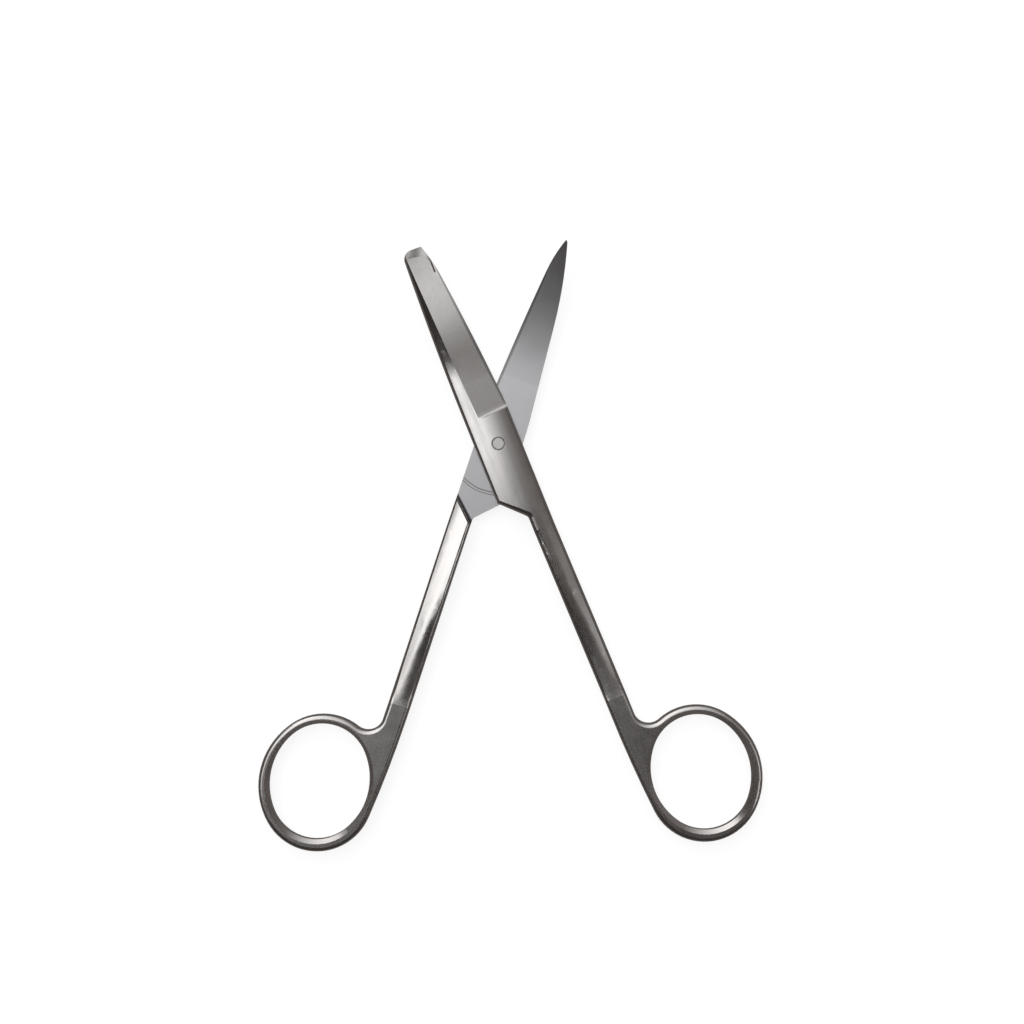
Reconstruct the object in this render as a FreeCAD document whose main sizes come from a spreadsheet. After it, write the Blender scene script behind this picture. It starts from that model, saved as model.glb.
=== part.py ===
import FreeCAD, Part
import math
import os
from types import SimpleNamespace

import Sketcher

# Curved operating scissors, one blunt and one sharp blade, lying half open.
# Row frame: millimetres, +Z up, +Y towards the tips, the pivot on the Z axis,
# and Z = 0 at the face of the screw head that rests on the table.

# Driving dimensions
# Each half is drawn in a frame of its own: the pivot at the origin, +Y towards
# the tip, +X towards the cutting edge and the finger ring, the joint plane at
# Z = 0 and the outer side of the joint at +Z.

SIZES = [
    # Pose and joint
    ("opening_angle", 40.7, "angle between the halves as they lie"),
    ("running_gap", 0.04, "each inner face stands off the joint plane"),
    ("crown_height", 2.4, "joint plane to the crest of a half"),
    ("crown_radius", 11.4, "round of the outer side across the joint"),
    ("crown_offset", 0.1, "crest of the crown off the pivot, spine side"),
    ("joint_spine", 5.15, "pivot to the spine side of the joint"),
    ("joint_edge", 5.0, "pivot to the cutting edge side of the joint"),
    ("blunt_rim", 1.05, "round along the outer rims of the blunt half"),
    ("sharp_rim", 0.7, "round along the outer rims of the sharp half"),
    ("lap_start", 12.2, "pivot back to where the lap slants in"),
    ("lap_end", 17.5, "pivot back to where the lap meets the shank"),
    ("lap_fillet", 1.2, "fillet between the lap and the shank"),
    ("shoulder_gap", 2.2, "behind the other half's lap when closed"),
    ("shoulder_cove", 1.0, "hollow at the foot of the shoulder"),
    # Blades
    ("step_place", 6.5, "pivot to the step where the ground facet starts"),
    ("runout_radius", 0.8, "grinding wheel's run-out at the step"),
    ("bend_start", 15.0, "pivot to where the blade starts to curve"),
    ("bend_radius", 75.0, "curve of the blade's inner face"),
    ("facet_angle", 16.0, "slope of the ground facet across the blade"),
    ("facet_skew", 4.9, "slant of the facet along the cutting edge"),
    ("facet_edge", 4.47, "facet's zero line off the axis at the bend start"),
    ("edge_land", 0.15, "thickness left at the cutting edge"),
    ("edge_slant", 3.3, "slant of the cutting edge past the step"),
    ("edge_bend", 30.0, "radius of that turn"),
    ("edge_knee", 39.2, "pivot to where the edge turns in to the tip"),
    ("edge_knee_off", 2.1, "cutting edge off the axis there"),
    ("edge_tip_radius", 27.0, "bow of the last of the cutting edge"),
    ("blunt_length", 45.95, "pivot to the blunt tip"),
    ("blunt_edge_off", 0.4, "cutting edge off the axis at the blunt tip"),
    ("blunt_spine_off", 4.05, "spine off the axis at the blunt tip"),
    ("blunt_corner", 2.1, "round of the blunt tip's spine corner"),
    ("end_edge_left", 0.07, "blunt tip's ground end, height over the inner face beside the edge"),
    ("end_edge_slope", 3.5, "its slope against the inner face there"),
    ("end_spine_left", 1.3, "blunt tip's ground end, height over the inner face beside the spine"),
    ("end_spine_slope", 40.0, "its slope against the inner face there"),
    ("sharp_length", 46.65, "pivot to the sharp tip"),
    ("sharp_edge_off", 0.1, "sharp tip off the axis"),
    ("sharp_end_width", 0.5, "width at the rounded sharp tip"),
    ("sharp_spine_turn", 2.0, "pivot to where the sharp spine slants in"),
    ("sharp_spine_slant", 4.3, "slant of the sharp blade's spine"),
    ("sharp_spine_bend", 80.0, "radius of that turn"),
    ("sharp_spine_knee", 29.0, "pivot to where that spine curves to the tip"),
    # Shanks
    ("shank_inner", 0.1, "inner side of the shank off the axis"),
    ("shank_top", 21.0, "pivot back to the end of the straight shank"),
    ("shank_end", 62.0, "pivot back to the root of the ring"),
    ("shank_end_width", 4.95, "width of the shank at the ring"),
    ("shank_crown", 6.0, "round across the lower part of the shank"),
    # Finger rings
    ("ring_crest", 1.65, "joint plane to the crest of the ring"),
    ("ring_round", 0.95, "round of the ring's outer edges"),
    ("ring_bevel", 0.9, "bevel of the finger opening"),
    ("ring_half_width", 13.6, "ring's centre to its far side"),
    ("ring_half_length", 15.3, "ring's centre to its lower end"),
    ("ring_end_radius", 12.5, "radius of the ring's two ends"),
    ("ring_tilt", 5.0, "long axis of the ring, leaning out"),
    ("ring_near_side", 0.9, "near side stands off the end circle"),
    ("opening_half_width", 11.1, "half the width of the finger opening"),
    ("opening_half_length", 12.95, "half the length of the finger opening"),
    ("opening_end_radius", 10.2, "radius of the opening's two ends"),
    ("opening_shift", 0.25, "opening's centre off the ring's, outwards"),
    ("crotch_radius", 3.5, "fillet between the shank and the ring"),
    ("blunt_ring_off", 14.25, "blunt half, ring's centre off the axis"),
    ("blunt_ring_back", 84.7, "blunt half, pivot back to the ring's centre"),
    ("sharp_ring_off", 13.4, "sharp half, ring's centre off the axis"),
    ("sharp_ring_back", 84.0, "sharp half, pivot back to the ring's centre"),
    # Pivot screw
    ("screw_radius", 1.35, "shank of the screw"),
    ("thread_clearance", 0.01, "screw in the blunt half's hole"),
    ("turning_clearance", 0.05, "screw in the sharp half's hole, all round"),
    ("head_radius", 2.5, "slotted head"),
    ("head_depth", 1.2, "depth of the head's seat"),
    ("head_lift", 0.03, "head off the floor of its seat"),
    ("head_stand", 0.2, "head stands proud of the crown"),
    ("head_chamfer", 0.2, "edge of the head"),
    ("slot_width", 0.6, "screwdriver slot"),
    ("slot_depth", 0.6, "screwdriver slot"),
    ("peened_proud", 0.02, "peened end above the crown"),
    ("peened_chamfer", 0.16, "edge of the peened end and of its hole"),
]

# Drawing margins past the solid, which no surface depends on
BAR_MARGIN = 1.0
MARGIN = 3.0
FRAME = 60.0

# Sections between the ends of the shank, as shares of its length
SHANK_SECTIONS = (0.15, 0.5, 0.85)


class Size:
    """A number that remembers the sheet cells it comes from."""

    def __init__(self, value, text):
        self.value = value
        self.text = text

    def __add__(self, other):
        return Size(self.value + value_of(other), "(%s + %s)" % (self.text, text_of(other)))

    def __radd__(self, other):
        return Size(value_of(other) + self.value, "(%s + %s)" % (text_of(other), self.text))

    def __sub__(self, other):
        return Size(self.value - value_of(other), "(%s - %s)" % (self.text, text_of(other)))

    def __rsub__(self, other):
        return Size(value_of(other) - self.value, "(%s - %s)" % (text_of(other), self.text))

    def __mul__(self, other):
        return Size(self.value * value_of(other), "(%s * %s)" % (self.text, text_of(other)))

    def __rmul__(self, other):
        return Size(value_of(other) * self.value, "(%s * %s)" % (text_of(other), self.text))

    def __truediv__(self, other):
        return Size(self.value / value_of(other), "(%s / %s)" % (self.text, text_of(other)))

    def __neg__(self):
        return Size(-self.value, "(0 - %s)" % self.text)


def value_of(size):
    return size.value if isinstance(size, Size) else float(size)


def text_of(size):
    return size.text if isinstance(size, Size) else repr(float(size))


def square(size):
    return size * size


def root(size):
    return Size(math.sqrt(size.value), "sqrt(%s)" % size.text)


def sine(angle):
    return Size(math.sin(math.radians(angle.value)), "sin(%s)" % angle.text)


def cosine(angle):
    return Size(math.cos(math.radians(angle.value)), "cos(%s)" % angle.text)


def tangent(angle):
    return Size(math.tan(math.radians(angle.value)), "tan(%s)" % angle.text)


def arcsine(size):
    return Size(math.degrees(math.asin(size.value)), "asin(%s)" % size.text)


def make_sheet(doc):
    sheet = doc.addObject("Spreadsheet::Sheet", "Sizes")
    for row, (alias, value, meaning) in enumerate(SIZES, start=1):
        sheet.set("A%d" % row, meaning)
        sheet.set("B%d" % row, str(value))
        sheet.setAlias("B%d" % row, alias)
    doc.recompute()
    return SimpleNamespace(**{alias: Size(float(value), "Sizes." + alias) for alias, value, _ in SIZES})


# Sketches and features

def new_sketch(body, name, role, height=0.0, across=0.0, turn=None):
    """A sketch on an origin plane, moved along its normal and up or turned about its own Y axis."""
    plane = [item for item in body.Origin.OriginFeatures if item.Role == role][0]
    sketch = body.newObject("Sketcher::SketchObject", name)
    sketch.AttachmentSupport = [(plane, "")]
    sketch.MapMode = "FlatFace"
    angle = 0.0 if turn is None else turn.value
    sketch.AttachmentOffset = FreeCAD.Placement(
        FreeCAD.Vector(0, value_of(across), value_of(height)),
        FreeCAD.Rotation(FreeCAD.Vector(0, 1, 0), angle))
    if isinstance(height, Size):
        sketch.setExpression("AttachmentOffset.Base.z", height.text)
    if isinstance(across, Size):
        sketch.setExpression("AttachmentOffset.Base.y", across.text)
    if turn is not None:
        sketch.setExpression("AttachmentOffset.Rotation.Angle", turn.text)
    return sketch


def fix(sketch, kind, targets, size):
    index = sketch.addConstraint(Sketcher.Constraint(kind, *targets, value_of(size)))
    if isinstance(size, Size):
        sketch.setExpression("Constraints[%d]" % index, size.text)


def arc_through(start, end, radius):
    """The short arc from start to end; a positive radius turns left, a negative one right."""
    chord = end - start
    reach = math.sqrt(radius * radius - chord.Length * chord.Length / 4)
    left = FreeCAD.Vector(-chord.y, chord.x, 0).normalize()
    centre = (start + end) / 2 + left * (reach if radius > 0 else -reach)
    first, last = (start, end) if radius > 0 else (end, start)
    angle_first = math.atan2(first.y - centre.y, first.x - centre.x)
    angle_last = math.atan2(last.y - centre.y, last.x - centre.x)
    circle = Part.Circle(centre, FreeCAD.Vector(0, 0, 1), abs(radius))
    return Part.ArcOfCircle(circle, angle_first, angle_last)


def add_loop(sketch, corners, arcs=None):
    """A closed outline. arcs gives the signed radius of the stretch that leaves a corner."""
    arcs = arcs or {}
    count = len(corners)
    points = [FreeCAD.Vector(value_of(x), value_of(y), 0) for x, y in corners]
    first = sketch.GeometryCount
    starts = []
    ends = []
    for index in range(count):
        start = points[index]
        end = points[(index + 1) % count]
        radius = arcs.get(index)
        if radius is None:
            sketch.addGeometry(Part.LineSegment(start, end), False)
            starts.append(1)
            ends.append(2)
        else:
            sketch.addGeometry(arc_through(start, end, value_of(radius)), False)
            starts.append(1 if value_of(radius) > 0 else 2)
            ends.append(2 if value_of(radius) > 0 else 1)
    for index in range(count):
        after = (index + 1) % count
        sketch.addConstraint(Sketcher.Constraint(
            "Coincident", first + index, ends[index], first + after, starts[after]))
    for index, (x, y) in enumerate(corners):
        fix(sketch, "DistanceX", (-1, 1, first + index, starts[index]), x)
        fix(sketch, "DistanceY", (-1, 1, first + index, starts[index]), y)
        if index in arcs:
            radius = arcs[index]
            fix(sketch, "Radius", (first + index,), radius if value_of(radius) > 0 else -radius)


def add_circle(sketch, radius):
    circle = Part.Circle(FreeCAD.Vector(0, 0, 0), FreeCAD.Vector(0, 0, 1), value_of(radius))
    index = sketch.addGeometry(circle, False)
    sketch.addConstraint(Sketcher.Constraint("Coincident", index, 3, -1, 1))
    fix(sketch, "Radius", (index,), radius)


def add_feature(body, kind, name, **properties):
    """A feature of the body; a size given as a property is bound to the sheet."""
    feature = body.newObject("PartDesign::" + kind, name)
    for key, setting in properties.items():
        if isinstance(setting, Size):
            setattr(feature, key, setting.value)
            feature.setExpression(key, setting.text)
        else:
            setattr(feature, key, setting)
    body.Document.recompute()
    return feature


def require_change(before, after, sign):
    """Stops when a feature that should add or remove material doesn't."""
    if sign * (after.Shape.Volume - before.Shape.Volume) <= 0:
        raise RuntimeError("%s changes nothing" % after.Name)


def edges_where(feature, wanted):
    return ["Edge%d" % number for number, edge in enumerate(feature.Shape.Edges, start=1) if wanted(edge)]


def is_flat_at(edge, height):
    """Whether the edge lies level at that height above or below the joint plane."""
    return abs(abs(edge.BoundBox.ZMin) - height) < 1e-6 and edge.BoundBox.ZLength < 1e-6


def middle_of(edge):
    return edge.valueAt((edge.FirstParameter + edge.LastParameter) / 2)


def add_round(body, name, base, wanted, radius):
    names = edges_where(base, wanted)
    if not names:
        raise RuntimeError("%s finds no edge" % name)
    return add_feature(body, "Fillet", name, Base=(base, names), Radius=radius)


# Section of the joint and the straight shank: flat inside, crowned outside

def crown_at(s, off):
    """Height of the crown above the joint plane at a place across the half."""
    reach = off + s.crown_offset
    return s.crown_height - s.crown_radius + root(square(s.crown_radius) - square(reach))


def add_crown_loop(sketch, s, floor, datum, side):
    """A slice of bar wider than the half, from the floor to the crown, on one side of the joint plane."""
    left = -(s.joint_spine + BAR_MARGIN)
    right = s.joint_edge + BAR_MARGIN
    if side > 0:
        corners = [(left, floor - datum), (right, floor - datum),
                   (right, crown_at(s, right) - datum), (left, crown_at(s, left) - datum)]
        add_loop(sketch, corners, {2: s.crown_radius})
    else:
        corners = [(left, floor - datum), (left, -crown_at(s, left) - datum),
                   (right, -crown_at(s, right) - datum), (right, floor - datum)]
        add_loop(sketch, corners, {1: s.crown_radius})


# Section corners of a shank: wall, round and crown meet smoothly

def corner_points(centre, crown, wall, side, radius):
    """Where the corner round leaves the wall and where it meets the crown."""
    centre_x, centre_z = centre
    round_x = wall - side * radius
    round_z = centre_z + root(square(crown - radius) - square(round_x - centre_x))
    share = crown / (crown - radius)
    meet = (centre_x + (round_x - centre_x) * share, centre_z + (round_z - centre_z) * share)
    return (wall, round_z), meet


def add_shank_section(sketch, inner, outer, crown_centre, crown, radius):
    """Eight sides: two walls, four corner rounds and a crown above and below."""
    wall_in, meet_in = corner_points(crown_centre, crown, inner, -1, radius)
    wall_out, meet_out = corner_points(crown_centre, crown, outer, 1, radius)
    upper = [wall_out, meet_out, meet_in, wall_in]
    lower = [(x, -z) for x, z in reversed(upper)]
    add_loop(sketch, upper + lower, {0: radius, 1: crown, 2: radius, 4: radius, 5: crown, 6: radius})


def add_flat_section(sketch, inner, outer, crest, radius):
    """The root of the ring: two walls, four corner rounds and a flat above and below."""
    flat = crest - radius
    upper = [(outer, flat), (outer - radius, crest), (inner + radius, crest), (inner, flat)]
    lower = [(x, -z) for x, z in reversed(upper)]
    add_loop(sketch, upper + lower, {0: radius, 2: radius, 4: radius, 6: radius})


# Outlines seen from above

def leaving_radius(start, slant, end):
    """Radius of the arc that leaves start at a slant towards +X from +Y and passes through end."""
    across = end[0] - start[0]
    along = end[1] - start[1]
    return (square(across) + square(along)) / (2 * (across * cosine(slant) - along * sine(slant)))


def blunt_outline(s):
    """Blade with a squared-off tip; its corner at the spine is rounded afterwards."""
    tip_edge = (s.blunt_edge_off, s.blunt_length)
    tip_spine = (-s.blunt_spine_off, s.blunt_length)
    spine_foot = (-s.joint_spine, s.step_place)
    rise = s.joint_spine - s.blunt_spine_off
    run = s.blunt_length - s.step_place
    spine_radius = (square(rise) + square(run)) / (2 * rise)
    corners = [tip_edge, tip_spine, spine_foot]
    return corners, {1: spine_radius}


def sharp_outline(s):
    """Blade with a pointed tip; its spine runs straight, then curves in to the point."""
    slant = s.sharp_spine_slant
    turn_from = (-s.joint_spine, s.sharp_spine_turn)
    turn_to = (s.sharp_spine_bend * (1 - cosine(slant)) - s.joint_spine,
               s.sharp_spine_turn + s.sharp_spine_bend * sine(slant))
    knee = (turn_to[0] + (s.sharp_spine_knee - turn_to[1]) * tangent(slant), s.sharp_spine_knee)
    tip_edge = (s.sharp_edge_off, s.sharp_length)
    tip_spine = (s.sharp_edge_off - s.sharp_end_width, s.sharp_length - s.sharp_end_width)
    bow = leaving_radius(knee, slant, tip_spine)
    corners = [tip_edge, tip_spine, knee, turn_to, turn_from]
    return corners, {0: s.sharp_end_width * 1.5, 1: bow, 3: s.sharp_spine_bend}


def add_half_outline(sketch, s, tip_corners, tip_arcs):
    """Joint, lap and blade in one outline, from the shank round by the cutting edge and the spine."""
    slant = s.edge_slant
    turn_from = (s.joint_edge, s.step_place)
    turn_to = (s.joint_edge - s.edge_bend * (1 - cosine(slant)), s.step_place + s.edge_bend * sine(slant))
    knee = (s.edge_knee_off, s.edge_knee)
    bow = leaving_radius((-turn_to[0], turn_to[1]), slant, (-knee[0], knee[1]))
    edge = [(s.joint_edge, -s.shank_top), turn_from, turn_to, knee]
    lap = [(-s.joint_spine, -s.lap_start), (s.shank_inner, -s.lap_end), (s.shank_inner, -s.shank_top)]
    corners = edge + tip_corners + lap
    arcs = {1: s.edge_bend, 2: bow, 3: s.edge_tip_radius}
    for index, radius in tip_arcs.items():
        arcs[len(edge) + index] = radius
    add_loop(sketch, corners, arcs)


def oval(centre, half_width, half_length, end_radius, tilt):
    """A four-arc oval, its long axis leaning towards +X: centres, side radius and joints of the arcs."""
    along = (sine(tilt), cosine(tilt))
    aside = (cosine(tilt), -sine(tilt))
    end_reach = half_length - end_radius
    side_radius = (square(half_width) + square(end_reach) - square(end_radius)) / (2 * (half_width - end_radius))
    side_reach = side_radius - half_width
    span = side_radius - end_radius
    share = side_radius / span

    def place(right, up):
        return (centre[0] + right * aside[0] + up * along[0], centre[1] + right * aside[1] + up * along[1])

    def joint(right, up):
        return place(right * (side_reach * share - side_reach), up * (end_reach * share))

    return SimpleNamespace(
        top=place(Size(0.0, "0"), end_reach), bottom=place(Size(0.0, "0"), -end_reach),
        side_radius=side_radius,
        top_right=joint(1, 1), top_left=joint(-1, 1),
        bottom_left=joint(-1, -1), bottom_right=joint(1, -1))


def touch_point(circle_centre, radius, other_centre, other_radius):
    """Where a circle meets one that touches it, measured from the first centre."""
    share = radius / other_radius
    return (circle_centre[0] + (other_centre[0] - circle_centre[0]) * share,
            circle_centre[1] + (other_centre[1] - circle_centre[1]) * share)


def ring_layout(s, off, back):
    """Outer outline of the ring with the end of the shank, and the outline of the opening."""
    ring = oval((off, -back), s.ring_half_width, s.ring_half_length, s.ring_end_radius, s.ring_tilt)
    shift = s.opening_shift
    opening = oval((off + shift, -back + shift), s.opening_half_width, s.opening_half_length,
                   s.opening_end_radius, s.ring_tilt)
    inner = ring.bottom[0] - s.ring_end_radius - s.ring_near_side
    outer = inner + s.shank_end_width
    near_start = s.shank_end + s.crotch_radius
    aside = inner - ring.bottom[0]
    along = -near_start - ring.bottom[1]
    near_radius = ((square(s.ring_end_radius) - square(aside) - square(along))
                   / (2 * (aside + s.ring_end_radius)))
    near_centre = (inner + near_radius, -near_start)
    near_touch = touch_point(near_centre, near_radius, ring.bottom, near_radius - s.ring_end_radius)
    crotch_x = outer + s.crotch_radius
    reach = s.ring_end_radius + s.crotch_radius
    crotch_y = ring.top[1] + root(square(reach) - square(crotch_x - ring.top[0]))
    crotch_touch = touch_point(ring.top, s.ring_end_radius, (crotch_x, crotch_y), reach)
    outline = [(outer, -s.shank_end), (inner, -s.shank_end), (inner, -near_start), near_touch,
               ring.bottom_right, ring.top_right, crotch_touch, (outer, crotch_y)]
    arcs = {2: near_radius, 3: s.ring_end_radius, 4: ring.side_radius, 5: s.ring_end_radius,
            6: -s.crotch_radius}
    hole = [opening.top_left, opening.bottom_left, opening.bottom_right, opening.top_right]
    hole_arcs = {0: opening.side_radius, 1: s.opening_end_radius,
                 2: opening.side_radius, 3: s.opening_end_radius}
    return SimpleNamespace(inner=inner, outer=outer, outline=outline, arcs=arcs, hole=hole, hole_arcs=hole_arcs)


# Features of one half

def make_ring(body, s, layout):
    """The ring and the end of the shank: rounded outside, bevelled in the finger opening."""
    plate = new_sketch(body, "RingOutline", "XY_Plane", height=-s.ring_crest)
    add_loop(plate, layout.outline, layout.arcs)
    ring = add_feature(body, "Pad", "Ring", Profile=plate, Length=2 * s.ring_crest)

    def rim(edge):
        at_root = edge.BoundBox.YMin > -s.shank_end.value - 1e-6
        return is_flat_at(edge, s.ring_crest.value) and not at_root

    rounded = add_round(body, "RingRound", ring, rim, s.ring_round)
    hole = new_sketch(body, "FingerOpening", "XY_Plane", height=s.ring_crest)
    add_loop(hole, layout.hole, layout.hole_arcs)
    opened = add_feature(body, "Pocket", "Opening", Profile=hole, Length=2 * s.ring_crest)
    require_change(rounded, opened, -1)

    def opening_rim(edge):
        faces = opened.Shape.ancestorsOfType(edge, Part.Face)
        return rim(edge) and any(is_wall(face) for face in faces)

    return add_feature(body, "Chamfer", "OpeningBevel", Base=(opened, edges_where(opened, opening_rim)),
                       Size=s.ring_bevel)


def turn_to_reach(s, reach):
    """Turn about the bend's axis at which the bar has come as far as reach."""
    return arcsine((reach - s.bend_start) / (s.bend_radius - s.crown_height))


def make_blade_bar(body, s, bend_side, length):
    """The bar that the half is cut from: joint and straight blade, then curved out of the joint plane."""
    datum = bend_side * s.bend_radius
    profile = new_sketch(body, "BarSection", "XZ_Plane", height=-s.bend_start, across=datum)
    add_crown_loop(profile, s, s.running_gap, datum, 1)
    straight = add_feature(body, "Pad", "StraightBar", Profile=profile, Length=s.bend_start + s.shank_top)
    curved = add_feature(body, "Revolution", "CurvedBar", Profile=profile,
                         ReferenceAxis=(profile, ["H_Axis"]), Angle=turn_to_reach(s, length + BAR_MARGIN),
                         Reversed=bend_side < 0)
    require_change(straight, curved, 1)
    inside = new_sketch(body, "StubSection", "XZ_Plane", height=s.lap_start)
    add_crown_loop(inside, s, s.running_gap, Size(0.0, "0"), -1)
    stub = add_feature(body, "Pad", "Stub", Profile=inside, Length=s.shank_top - s.lap_start)
    require_change(curved, stub, 1)
    return stub


def trim_outline(body, s, base, tip_corners, tip_arcs):
    """Cuts joint and blade to their outline, seen from above."""
    trim = new_sketch(body, "Outline", "XY_Plane", height=FRAME)
    add_loop(trim, [(-FRAME, -FRAME), (FRAME, -FRAME), (FRAME, FRAME), (-FRAME, FRAME)])
    add_half_outline(trim, s, tip_corners, tip_arcs)
    trimmed = add_feature(body, "Pocket", "Trim", Profile=trim, Type="ThroughAll")
    require_change(base, trimmed, -1)
    return trimmed


def cut_shoulder(body, s, base):
    """Clears the inner side of the joint, back to the shoulder behind the other half's lap."""
    shoulder = new_sketch(body, "Shoulder", "XY_Plane", height=s.running_gap)
    slope = (s.lap_end - s.lap_start) / (s.joint_spine + s.shank_inner)

    def line_at(x):
        return slope * (x + s.shank_inner) - s.lap_end - s.shoulder_gap

    left = -(s.joint_spine + MARGIN)
    right = s.joint_edge + MARGIN
    add_loop(shoulder, [(left, line_at(left)), (right, line_at(right)), (right, 0), (left, 0)])
    cleared = add_feature(body, "Pocket", "Lapping", Profile=shoulder, Length=s.crown_height + MARGIN)
    require_change(base, cleared, -1)
    return cleared


def hollow_shoulder(body, s, base):
    """The cutter's radius between the shoulder and the inner face."""

    def foot(edge):
        level = abs(edge.BoundBox.ZMin - s.running_gap.value) < 1e-6 and edge.BoundBox.ZLength < 1e-6
        slanted = edge.BoundBox.XLength > 1e-6 and edge.BoundBox.YLength > 1e-6
        at = middle_of(edge)
        return level and slanted and at.x > s.shank_inner.value and at.y < -s.lap_start.value

    return add_round(body, "ShoulderCove", base, foot, s.shoulder_cove)


def round_corner(body, name, base, x, y, radius):
    """Rounds the upright edge that stands at a corner of the outline."""

    def upright(edge):
        at = middle_of(edge)
        lean = edge.BoundBox.XLength + edge.BoundBox.YLength
        return lean < 1e-6 and math.hypot(at.x - value_of(x), at.y - value_of(y)) < 1e-3

    return add_round(body, name, base, upright, radius)


def is_crown(face):
    surface = face.Surface
    along_bar = isinstance(surface, Part.Cylinder) and abs(surface.Axis.y) > 0.99
    return along_bar or isinstance(surface, Part.Toroid)


def is_wall(face):
    surface = face.Surface
    upright = isinstance(surface, Part.Plane) and abs(surface.Axis.z) < 1e-6
    return upright or (isinstance(surface, Part.Cylinder) and abs(surface.Axis.z) > 0.99)


def round_rims(body, s, base, radius):
    """Breaks the edges between the crown and the walls; below, only the two that run along the shank."""

    def rim(edge):
        faces = base.Shape.ancestorsOfType(edge, Part.Face)
        kinds = sorted((is_crown(face), is_wall(face)) for face in faces)
        at = middle_of(edge)
        at_end = edge.BoundBox.YMax < -s.shank_top.value + 1e-6
        across_below = at.y < -s.lap_start.value and at.z < 0 and edge.BoundBox.XLength > 1e-6
        return kinds == [(False, True), (True, False)] and not at_end and not across_below

    return add_round(body, "RimRound", base, rim, radius)


def grind_facet(body, s, bend_side, length, base):
    """The facet ground from the step to the tip, with the run-out of the wheel at the step."""
    datum = bend_side * s.bend_radius
    foot = s.running_gap + s.edge_land
    top = s.crown_height + MARGIN
    off = s.facet_edge * cosine(s.facet_skew)
    ahead = s.bend_start + s.facet_edge * sine(s.facet_skew)
    side = new_sketch(body, "FacetSide", "YZ_Plane", height=off, across=foot)
    side.AttachmentOffset = FreeCAD.Placement(
        FreeCAD.Vector(ahead.value, foot.value, off.value),
        FreeCAD.Rotation(0, s.facet_skew.value, s.facet_angle.value))
    side.setExpression("AttachmentOffset.Base.x", ahead.text)
    side.setExpression("AttachmentOffset.Rotation.Pitch", s.facet_skew.text)
    side.setExpression("AttachmentOffset.Rotation.Roll", s.facet_angle.text)
    run = s.bend_start - s.step_place
    runout = s.runout_radius
    add_loop(side, [(-run, top), (-run, runout), (runout - run, 0), (0, 0), (0, top)], {1: runout})
    flat = add_feature(body, "Pocket", "FacetFlat", Profile=side, Length=FRAME, Midplane=True)
    require_change(base, flat, -1)
    wedge = new_sketch(body, "FacetWedge", "XZ_Plane", height=-s.bend_start, across=datum, turn=s.facet_skew)
    slope = tangent(s.facet_angle)
    low_reach = s.facet_edge + MARGIN
    high_reach = s.facet_edge - (top - foot) / slope
    add_loop(wedge, [(low_reach, foot - MARGIN * slope - datum), (low_reach, top - datum),
                     (high_reach, top - datum)])
    curved = add_feature(body, "Groove", "FacetCurve", Profile=wedge, ReferenceAxis=(wedge, ["H_Axis"]),
                         Angle=turn_to_reach(s, length + MARGIN), Reversed=bend_side < 0)
    require_change(flat, curved, -1)
    return curved


def grind_end(body, s, base):
    """The second, steeper facet across the end of the blunt tip."""
    rise = (s.blunt_length - s.bend_start) / s.bend_radius
    run = root(1 - square(rise))
    inner_face = s.bend_radius * (1 - run) + s.running_gap

    def add_side(name, place, left, slope):
        along = (rise / run - tangent(slope)) / (1 + rise / run * tangent(slope))
        end = inner_face + left
        near = s.blunt_length - 2 * MARGIN
        far = s.blunt_length + MARGIN
        top = end + 2 * MARGIN
        side = new_sketch(body, name, "YZ_Plane", height=place)
        add_loop(side, [(near, end - along * 2 * MARGIN), (far, end + along * MARGIN), (far, top), (near, top)])
        return side

    edge_side = add_side("EndFacetEdge", s.blunt_edge_off + BAR_MARGIN, s.end_edge_left, s.end_edge_slope)
    spine_side = add_side("EndFacetSpine", -(s.blunt_spine_off + BAR_MARGIN), s.end_spine_left, s.end_spine_slope)
    ground = add_feature(body, "SubtractiveLoft", "EndFacet", Profile=edge_side, Sections=[spine_side], Ruled=True)
    require_change(base, ground, -1)
    return ground


def bore(body, name, base, radius, bottom, top):
    """A round hole on the pivot axis between two heights."""
    circle = new_sketch(body, name + "Circle", "XY_Plane", height=top)
    add_circle(circle, radius)
    hole = add_feature(body, "Pocket", name, Profile=circle, Length=top - bottom)
    require_change(base, hole, -1)
    return hole


def make_shank(body, s, layout, rim, base):
    """From the crowned straight shank to the root of the ring, in one smooth run."""
    crown_centre = (-s.crown_offset, s.crown_height - s.crown_radius)
    upper = new_sketch(body, "ShankUpper", "XZ_Plane", height=s.shank_top)
    add_shank_section(upper, s.shank_inner, s.joint_edge, crown_centre, s.crown_radius, rim)
    between = []
    for share in SHANK_SECTIONS:
        eased = share * share * (3 - 2 * share)
        inner = s.shank_inner + (layout.inner - s.shank_inner) * share
        outer = s.joint_edge + (layout.outer - s.joint_edge) * share
        crown = s.crown_radius + (s.shank_crown - s.crown_radius) * eased
        crest = s.crown_height + (s.ring_crest - s.crown_height) * eased
        middle = (inner + outer) / 2
        centre = (middle * eased - s.crown_offset * (1 - eased), crest - crown)
        corner = rim + (s.ring_round - rim) * share
        section = new_sketch(body, "ShankSection%d" % (len(between) + 1), "XZ_Plane",
                             height=s.shank_top + (s.shank_end - s.shank_top) * share)
        add_shank_section(section, inner, outer, centre, crown, corner)
        between.append(section)
    lower = new_sketch(body, "ShankLower", "XZ_Plane", height=s.shank_end)
    add_flat_section(lower, layout.inner, layout.outer, s.ring_crest, s.ring_round)
    shank = add_feature(body, "AdditiveLoft", "Shank", Profile=upper, Sections=between + [lower])
    require_change(base, shank, 1)
    return shank


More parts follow.
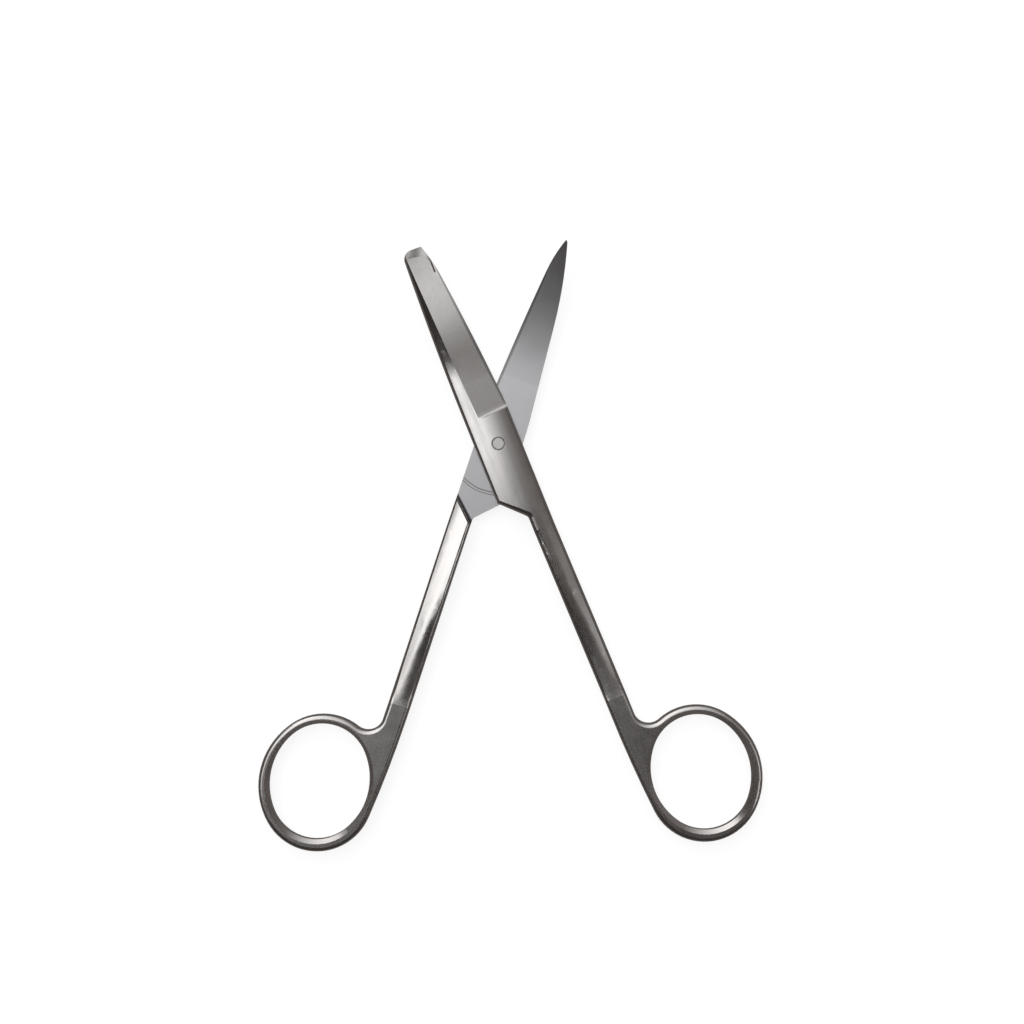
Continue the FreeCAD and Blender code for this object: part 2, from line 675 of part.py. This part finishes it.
def make_half(doc, s, name, bend_side, length, rim, tip, layout):
    """One half, forged and ground in one piece: bar, outline, lap, rounds, facet, ring and shank."""
    body = doc.addObject("PartDesign::Body", name)
    body.AllowCompound = True
    tip_corners, tip_arcs = tip
    bar = make_blade_bar(body, s, bend_side, length)
    trimmed = trim_outline(body, s, bar, tip_corners, tip_arcs)
    lapped = cut_shoulder(body, s, trimmed)
    blank = round_corner(body, "LapFillet", lapped, s.shank_inner, -s.lap_end, s.lap_fillet)
    if bend_side > 0:
        blank = round_corner(body, "TipCorner", blank, -s.blunt_spine_off, s.blunt_length, s.blunt_corner)
    rounded = round_rims(body, s, blank, rim)
    hollowed = hollow_shoulder(body, s, rounded)
    ground = grind_facet(body, s, bend_side, length, hollowed)
    top = s.crown_height + MARGIN
    if bend_side > 0:
        ground = grind_end(body, s, ground)
        hole_radius = s.screw_radius + s.thread_clearance
        peened = bore(body, "PeenedHole", ground, hole_radius, Size(0.0, "0"), top)

        def mouth(edge):
            at = middle_of(edge)
            return at.z > 1 and abs(math.hypot(at.x, at.y) - hole_radius.value) < 1e-4 and len(edge.Vertexes) == 1

        bored = add_feature(body, "Chamfer", "HoleMouth", Base=(peened, edges_where(peened, mouth)),
                            Size=s.peened_chamfer)
    else:
        turning = bore(body, "TurningHole", ground, s.screw_radius + s.turning_clearance, Size(0.0, "0"), top)
        seat = s.crown_height - s.head_depth
        bored = bore(body, "HeadSeat", turning, s.head_radius + s.turning_clearance, seat, top)
    ring = make_ring(body, s, layout)
    return body, make_shank(body, s, layout, rim, ring)


def make_screw(doc, s):
    """Slotted head below, plain shank, peened end flush with the crown above."""
    body = doc.addObject("PartDesign::Body", "pivot_screw")
    face = -(s.crown_height + s.head_stand)
    seat = s.head_depth - s.crown_height - s.head_lift
    end = s.crown_height + s.peened_proud
    rim = s.head_radius - s.head_chamfer
    neck = s.screw_radius - s.peened_chamfer
    profile = new_sketch(body, "ScrewProfile", "XZ_Plane")
    add_loop(profile, [(0, face), (rim, face), (s.head_radius, face + s.head_chamfer), (s.head_radius, seat),
                       (s.screw_radius, seat), (s.screw_radius, end - s.peened_chamfer), (neck, end), (0, end)])
    turned = add_feature(body, "Revolution", "Turned", Profile=profile, ReferenceAxis=(profile, ["V_Axis"]),
                         Angle=360.0)
    slot = new_sketch(body, "SlotSection", "XZ_Plane")
    half = s.slot_width / 2
    floor = face + s.slot_depth
    below = face - MARGIN
    add_loop(slot, [(-half, below), (half, below), (half, floor), (-half, floor)])
    slotted = add_feature(body, "Pocket", "Slot", Profile=slot, Length=FRAME, Midplane=True)
    require_change(turned, slotted, -1)
    return body, slotted


def place(body, last, height, yaw, roll):
    """Ends the body at its last feature and puts it in the shared frame."""
    body.Tip = last
    body.Placement = FreeCAD.Placement(
        FreeCAD.Vector(0, 0, height.value), FreeCAD.Rotation(yaw.value, 0, roll))
    body.setExpression("Placement.Base.z", height.text)
    body.setExpression("Placement.Rotation.Yaw", yaw.text)


def check_and_write(doc, bodies):
    """Writes one STEP file for each piece, or stops if anything in the document is broken."""
    doc.recompute()
    for item in doc.Objects:
        if "Invalid" in item.State or "Error" in item.State:
            raise RuntimeError("%s: %s" % (item.Name, item.State))
    os.makedirs("parts", exist_ok=True)
    for body in bodies:
        shape = body.Shape
        if shape.isNull() or not shape.isValid() or len(shape.Solids) != 1:
            raise RuntimeError("%s is not one valid solid" % body.Name)
        shape.exportStep("parts/%s.step" % body.Label)


def build():
    doc = FreeCAD.newDocument("OperatingScissors")
    s = make_sheet(doc)
    blunt_layout = ring_layout(s, s.blunt_ring_off, s.blunt_ring_back)
    sharp_layout = ring_layout(s, s.sharp_ring_off, s.sharp_ring_back)
    blunt, blunt_last = make_half(doc, s, "blunt_half", 1, s.blunt_length, s.blunt_rim, blunt_outline(s), blunt_layout)
    sharp, sharp_last = make_half(doc, s, "sharp_half", -1, s.sharp_length, s.sharp_rim, sharp_outline(s), sharp_layout)
    screw, screw_last = make_screw(doc, s)
    # The upper half leans to -X, the lower one is turned over and leans to +X
    pivot_plane = s.crown_height + s.head_stand
    lean = s.opening_angle / 2
    place(blunt, blunt_last, pivot_plane, lean, 0)
    place(sharp, sharp_last, pivot_plane, 180 - lean, 180)
    place(screw, screw_last, pivot_plane, 0 * lean, 0)
    check_and_write(doc, [blunt, sharp, screw])


build()
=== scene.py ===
import math

import bpy
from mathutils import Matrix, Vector

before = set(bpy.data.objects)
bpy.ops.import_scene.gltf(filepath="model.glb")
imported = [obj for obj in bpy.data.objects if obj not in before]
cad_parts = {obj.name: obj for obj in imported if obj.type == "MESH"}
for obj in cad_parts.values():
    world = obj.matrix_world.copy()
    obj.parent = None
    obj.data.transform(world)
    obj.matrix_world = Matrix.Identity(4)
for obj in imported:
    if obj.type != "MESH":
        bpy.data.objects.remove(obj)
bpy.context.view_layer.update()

# Metres, in the shared frame: the pivot on the Z axis, +Y towards the tips, the table at Z = 0.
# Each half's finish is laid out in that half's own millimetres: pivot at the origin, +Y towards
# its tip, +X towards its cutting edge and ring, +Z out of its outer side.
# Most pairs of numbers belong to a gradual change: where it starts and ends, or its first and
# last strength or roughness. A tint is a share and a colour.

MM = 0.001
PIVOT_HEIGHT = 0.0026
LEAN = math.radians(20.35)

# Camera: straight down on the middle of the photograph's frame
CAMERA_HEIGHT = 0.350
CAMERA_ROLL = math.radians(1.67)
CAMERA_CLIP = 0.01
FRAME_WIDTH = 0.2263
SURFACE_HEIGHT = 0.005
CENTRE_FROM_PIVOT = (0.00305, -0.01514)

# Where each finish and each painted shade lies on a half, in its own millimetres
STEP_PLACE = 6.5
FACET_START = (STEP_PLACE, STEP_PLACE + 0.6)
RUN_OUT = (STEP_PLACE + 1.6, STEP_PLACE + 0.8)
CROSS_GROUND = (22, 10)
EDGE_KNEE = 39.2
EDGE_RUN_IN = 2.9
# Painted shade along the cutting edge: its band across the blade and where it starts
EDGE_SHADE_BAND = (4.6, 4.75)
EDGE_SHADE_START = (STEP_PLACE, 9)
SHOULDER_PLACE = -18.9
SHOULDER_SLANT = 0.95
INNER_START = (SHOULDER_PLACE, SHOULDER_PLACE + 0.3)
# Painted shade in the cove where the shoulder meets the inner face: where it starts and ends
CORNER_START = (SHOULDER_PLACE - 0.3, SHOULDER_PLACE)
CORNER_END = (SHOULDER_PLACE + 1.0, SHOULDER_PLACE + 0.7)
RING_END_PLACE = (-38, -60)
RUB_ARCS = ((10.75, 0.18), (11.35, 0.14))  # radius about the pivot and half width
RUB_CORE = 0.3
RUB_WOBBLE = 0.25
RUB_SIDE = (0, -2)

# Which way a finish's surface faces, by the parts of its direction
FACES_INWARDS = (-0.75, -0.85)
FACET_SIDEWAYS = (0.1, 0.16)
FACET_UPWARDS = (0.3, 0.5)

# Grain, in noise cells per millimetre along each axis
LENGTHWAYS = (14.0, 0.25, 14.0)
CROSSWAYS = (0.35, 9.0, 0.35)
CLOUDS = (0.25, 0.25, 0.25)
SCREW_GRAIN = (4.0, 4.0, 4.0)
GRAIN_HEIGHT = 0.000002
SCREW_GRAIN_HEIGHT = 0.000003
HANDLED_GRAIN = 0.2

# Roughness, then what grain and clouds add to it
POLISHED = 0.15
HANDLED_ROUGHNESS = 0.25
FACET_ROUGHNESS = 0.25
INNER_ROUGHNESS = 0.36
RUN_OUT_ROUGHNESS = 0.5
GRAIN_ROUGHNESS = (-0.05, 0.07)
CLOUD_ROUGHNESS = (-0.05, 0.05)
SCREW_ROUGHNESS = (0.2, 0.34)

# Steel, and how far each finish or painted shade takes it towards which colour
STEEL = (0.60, 0.585, 0.575, 1.0)
INNER_STEEL = (0.60, 0.60, 0.62, 1.0)
GRAIN_TINT = (0.3, (0.42, 0.40, 0.39, 1.0))
# A warmer, darker tone on the lower shanks and the rings
RING_END_TINT = (0.12, (0.30, 0.27, 0.25, 1.0))
RUBBED_TINT = (0.75, (0.12, 0.11, 0.11, 1.0))
# Painted shade along the cutting edge, standing in for the dark reflection of the honed bevel
EDGE_PAINTED_SHADE = (0.6, (0.14, 0.13, 0.13, 1.0))
# Painted shade, near black, in the shoulder's cove
CORNER_PAINTED_SHADE = (0.9, (0.05, 0.045, 0.045, 1.0))

# Table
FLOOR_SIZE = 6.0
FLOOR_HEIGHT = -0.00005
FLOOR_GREY = (0.3, 0.3, 0.3, 1.0)
FLOOR_GLOW = 0.86

# Studio, by the parts of the direction that light comes from
HORIZON = (0.0, 0.15)
PANEL_SLOPE = 0.405
PANEL_FOOT = (0.005, 0.06)
PANEL_ACROSS = (-0.3, 0.62)
PANEL_STRENGTH = (1.8, 0.12)
PANEL_END = (-0.74, -0.6)
GAP_SLOPE = 0.43
GAP_TOP = (-0.14, -0.18)
GAP_FOOT = (-0.30, -0.26)
GAP_SIDE = (-0.40, -0.48)
GAP_DEPTH = 0.9
LAMP_DIRECTION = (0.66, -0.13, 0.74)
LAMP_SPREAD = (0.38, 0.06)
LAMP_STRENGTH = 1.15
FILL_TOP = (0.05, 0.0)
FILL_SIDE = (0.1, 0.5)
FILL_FOOT = (-0.4, -0.2)
FILL_STRENGTH = 0.07
ROOM_RISE = (0.0, 0.3)
ROOM_STRENGTH = (0.16, 0.045)
WARM_UP_TO = (0.05, 0.5)
WARM = (1.0, 0.88, 0.82, 1.0)
WHITE = (1.0, 1.0, 1.0, 1.0)


def add_node(tree, kind, inputs=None, **settings):
    """A node with its settings; an input is a value or another node's socket."""
    node = tree.nodes.new(kind)
    for name, value in settings.items():
        setattr(node, name, value)
    for key, value in (inputs or {}).items():
        if isinstance(value, bpy.types.NodeSocket):
            tree.links.new(value, node.inputs[key])
        else:
            node.inputs[key].default_value = value
    return node


def maths(tree, operation, *values):
    return add_node(tree, "ShaderNodeMath", dict(enumerate(values)), operation=operation).outputs[0]


def ramp(tree, value, low, high, start=0.0, end=1.0, kind="SMOOTHSTEP"):
    """Goes from start to end while value goes from low to high, and stays there past both."""
    if low > high:
        low, high, start, end = high, low, end, start
    node = add_node(tree, "ShaderNodeMapRange",
                    {"Value": value, "From Min": low, "From Max": high, "To Min": start, "To Max": end},
                    interpolation_type=kind)
    return node.outputs["Result"]


def product(tree, *values):
    result = values[0]
    for value in values[1:]:
        result = maths(tree, "MULTIPLY", result, value)
    return result


def mix(tree, share, first, second):
    return add_node(tree, "ShaderNodeMix", {0: share, 2: first, 3: second}).outputs[0]


def mix_colour(tree, share, first, second):
    node = add_node(tree, "ShaderNodeMix", {0: share, 6: first, 7: second}, data_type="RGBA")
    return node.outputs[2]


def local_space(tree, turn):
    """Position in the half's own millimetres and the surface's direction in the same axes."""
    coordinates = add_node(tree, "ShaderNodeTexCoord")
    place = add_node(tree, "ShaderNodeMapping",
                     {"Vector": coordinates.outputs["Object"], "Location": (0, 0, PIVOT_HEIGHT),
                      "Rotation": turn, "Scale": (MM, MM, MM)}, vector_type="TEXTURE")
    facing = add_node(tree, "ShaderNodeMapping",
                      {"Vector": coordinates.outputs["Normal"], "Rotation": turn}, vector_type="TEXTURE")
    where = add_node(tree, "ShaderNodeSeparateXYZ", {0: place.outputs[0]})
    towards = add_node(tree, "ShaderNodeSeparateXYZ", {0: facing.outputs[0]})
    return place.outputs[0], where.outputs, towards.outputs


def grain(tree, place, per_mm):
    """Fine parallel scratches: noise drawn out along the axis with the smallest number."""
    stretched = add_node(tree, "ShaderNodeMapping", {"Vector": place, "Scale": per_mm})
    noise = add_node(tree, "ShaderNodeTexNoise",
                     {"Vector": stretched.outputs[0], "Scale": 1.0, "Detail": 3.0, "Roughness": 0.6})
    return noise.outputs["Fac"]


def new_material(name):
    material = bpy.data.materials.new(name)
    material.use_nodes = True
    tree = material.node_tree
    tree.nodes.clear()
    return material, tree


def finish_steel(tree, colour, roughness, height, distance):
    bump = add_node(tree, "ShaderNodeBump", {"Height": height, "Strength": 1.0, "Distance": distance})
    shader = add_node(tree, "ShaderNodeBsdfPrincipled",
                      {"Base Color": colour, "Metallic": 1.0, "Roughness": roughness,
                       "Normal": bump.outputs[0]})
    add_node(tree, "ShaderNodeOutputMaterial", {"Surface": shader.outputs[0]})


def rub_marks(tree, x, y, clouds, inner_face):
    """Two uneven arcs about the pivot, on the joint's inner face behind it."""
    squares = maths(tree, "ADD", maths(tree, "MULTIPLY", x, x), maths(tree, "MULTIPLY", y, y))
    uneven = maths(tree, "ADD", maths(tree, "SQRT", squares), mix(tree, clouds, -RUB_WOBBLE, RUB_WOBBLE))
    marks = 0.0
    for radius, half_width in RUB_ARCS:
        off = maths(tree, "ABSOLUTE", maths(tree, "SUBTRACT", uneven, radius))
        marks = maths(tree, "MAXIMUM", marks, ramp(tree, off, half_width, half_width * RUB_CORE))
    return product(tree, marks, inner_face, ramp(tree, y, *RUB_SIDE))


def painted_edge_shade(tree, x, y, facet, inner_face):
    """A narrow band of painted shade along the cutting edge, which runs in towards the axis up to its
    knee.
    """
    run_in = ramp(tree, y, STEP_PLACE, EDGE_KNEE, 0.0, EDGE_RUN_IN, "LINEAR")
    straightened = maths(tree, "ADD", x, run_in)
    return product(tree, ramp(tree, straightened, *EDGE_SHADE_BAND), ramp(tree, y, *EDGE_SHADE_START),
                   maths(tree, "MAXIMUM", facet, inner_face))


def half_steel(name, turn):
    """Satin outside with the grain along the shank, ground facet and ground inner face, with painted
    shade along the cutting edge and in the shoulder's cove.
    """
    material, tree = new_material(name)
    place, where, towards = local_space(tree, turn)
    x, y = where["X"], where["Y"]

    inwards = ramp(tree, towards["Z"], *FACES_INWARDS)
    past_shoulder = maths(tree, "SUBTRACT", y, maths(tree, "MULTIPLY", x, SHOULDER_SLANT))
    inner_face = product(tree, inwards, ramp(tree, past_shoulder, *INNER_START))
    # The shoulder's cove on the inner face, darkened in its colour as painted shade
    painted_corner_shade = product(tree, inwards, ramp(tree, past_shoulder, *CORNER_END),
                     ramp(tree, past_shoulder, *CORNER_START))
    facet = product(tree, ramp(tree, y, *FACET_START), ramp(tree, towards["X"], *FACET_SIDEWAYS),
                    ramp(tree, towards["Z"], *FACET_UPWARDS))
    run_out = product(tree, facet, ramp(tree, y, *RUN_OUT))
    ring_end = ramp(tree, y, *RING_END_PLACE)

    lengthways = grain(tree, place, LENGTHWAYS)
    crossways = grain(tree, place, CROSSWAYS)
    clouds = grain(tree, place, CLOUDS)
    ground = mix(tree, ramp(tree, y, *CROSS_GROUND), lengthways, crossways)
    pattern = mix(tree, facet, lengthways, ground)
    pattern = mix(tree, inner_face, pattern, crossways)

    roughness = mix(tree, ring_end, POLISHED, HANDLED_ROUGHNESS)
    roughness = mix(tree, facet, roughness, FACET_ROUGHNESS)
    roughness = mix(tree, inner_face, roughness, INNER_ROUGHNESS)
    roughness = mix(tree, run_out, roughness, RUN_OUT_ROUGHNESS)
    roughness = maths(tree, "ADD", roughness, mix(tree, pattern, *GRAIN_ROUGHNESS))
    roughness = maths(tree, "ADD", roughness, mix(tree, clouds, *CLOUD_ROUGHNESS))

    rubbed = rub_marks(tree, x, y, clouds, inner_face)
    # The dark band along the cutting edge is painted shade
    edge_shade = painted_edge_shade(tree, x, y, facet, inner_face)
    colour = mix_colour(tree, inner_face, STEEL, INNER_STEEL)
    # Grain and rub marks are the steel's own; the bands along the cutting edge and in the shoulder's
    # cove are painted shade
    for finish, (share, tint) in ((pattern, GRAIN_TINT), (ring_end, RING_END_TINT), (rubbed, RUBBED_TINT),
                                  (edge_shade, EDGE_PAINTED_SHADE), (painted_corner_shade, CORNER_PAINTED_SHADE)):
        colour = mix_colour(tree, maths(tree, "MULTIPLY", finish, share), colour, tint)

    height = product(tree, pattern, mix(tree, ring_end, 1.0, HANDLED_GRAIN))
    finish_steel(tree, colour, roughness, height, GRAIN_HEIGHT)
    return material


def screw_steel():
    material, tree = new_material("screw_finish")
    place = local_space(tree, (0, 0, 0))[0]
    pattern = grain(tree, place, SCREW_GRAIN)
    finish_steel(tree, STEEL, mix(tree, pattern, *SCREW_ROUGHNESS), pattern, SCREW_GRAIN_HEIGHT)
    return material


def dress(node, material):
    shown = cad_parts[node]
    shown.data.materials.clear()
    shown.data.materials.append(material)


def add_floor():
    """A white table, lit mostly by its own glow so that it stays even, and not mirrored in the steel."""
    bpy.ops.mesh.primitive_plane_add(size=FLOOR_SIZE, location=(0, 0, FLOOR_HEIGHT))
    floor = bpy.context.object
    floor.name = "floor"
    material, tree = new_material("white_table")
    shader = add_node(tree, "ShaderNodeBsdfPrincipled",
                      {"Base Color": FLOOR_GREY, "Roughness": 1.0, "Specular IOR Level": 0.0,
                       "Emission Color": WHITE, "Emission Strength": FLOOR_GLOW})
    add_node(tree, "ShaderNodeOutputMaterial", {"Surface": shader.outputs[0]})
    floor.data.materials.append(material)
    floor.visible_glossy = False


def light_room():
    """A panel behind, white at the left and dim at the right, with a dark gap in its left end.
    A lamp and a weak fill stand at the right. All else is dark and warm."""
    world = bpy.data.worlds.new("studio")
    bpy.context.scene.world = world
    world.use_nodes = True
    tree = world.node_tree
    tree.nodes.clear()
    direction = add_node(tree, "ShaderNodeTexCoord").outputs["Generated"]
    x, y, z = add_node(tree, "ShaderNodeSeparateXYZ", {0: direction}).outputs

    behind = maths(tree, "SUBTRACT", y, maths(tree, "MULTIPLY", x, PANEL_SLOPE))
    over_gap = maths(tree, "ADD", y, maths(tree, "MULTIPLY", x, GAP_SLOPE))
    gap = product(tree, ramp(tree, over_gap, *GAP_TOP), ramp(tree, over_gap, *GAP_FOOT),
                  ramp(tree, x, *GAP_SIDE))
    panel = product(tree, ramp(tree, behind, *PANEL_FOOT),
                    ramp(tree, x, *PANEL_ACROSS, *PANEL_STRENGTH, "LINEAR"), ramp(tree, x, *PANEL_END),
                    maths(tree, "SUBTRACT", 1.0, maths(tree, "MULTIPLY", gap, GAP_DEPTH)))
    from_lamp = add_node(tree, "ShaderNodeVectorMath", {0: direction, 1: LAMP_DIRECTION},
                         operation="DISTANCE")
    lamp = ramp(tree, from_lamp.outputs["Value"], *LAMP_SPREAD, 0.0, LAMP_STRENGTH)
    fill = product(tree, ramp(tree, behind, *FILL_TOP), ramp(tree, x, *FILL_SIDE),
                   ramp(tree, y, *FILL_FOOT, 0.0, FILL_STRENGTH))

    strength = ramp(tree, z, *ROOM_RISE, *ROOM_STRENGTH)
    above_table = ramp(tree, z, *HORIZON)
    for light in (panel, lamp, fill):
        strength = maths(tree, "ADD", strength, product(tree, light, above_table))
    colour = mix_colour(tree, ramp(tree, strength, *WARM_UP_TO), WARM, WHITE)
    background = add_node(tree, "ShaderNodeBackground", {"Color": colour, "Strength": strength})
    add_node(tree, "ShaderNodeOutputWorld", {"Surface": background.outputs[0]})


def add_camera():
    right = Vector((math.cos(CAMERA_ROLL), -math.sin(CAMERA_ROLL), 0))
    up = Vector((math.sin(CAMERA_ROLL), math.cos(CAMERA_ROLL), 0))
    over_centre = right * CENTRE_FROM_PIVOT[0] + up * CENTRE_FROM_PIVOT[1]
    data = bpy.data.cameras.new("camera")
    data.sensor_fit = "HORIZONTAL"
    data.angle = 2 * math.atan(FRAME_WIDTH / 2 / (CAMERA_HEIGHT - SURFACE_HEIGHT))
    data.clip_start = CAMERA_CLIP
    camera = bpy.data.objects.new("camera", data)
    camera.location = over_centre + Vector((0, 0, CAMERA_HEIGHT))
    camera.rotation_euler = (0, 0, -CAMERA_ROLL)
    bpy.context.scene.collection.objects.link(camera)
    bpy.context.scene.camera = camera


dress("blunt_half", half_steel("blunt_half_finish_and_painted_shade", (0, 0, LEAN)))
dress("sharp_half", half_steel("sharp_half_finish_and_painted_shade", (0, math.pi, -LEAN)))
dress("pivot_screw", screw_steel())
add_floor()
light_room()
add_camera()
bpy.context.scene.view_settings.view_transform = "Standard"
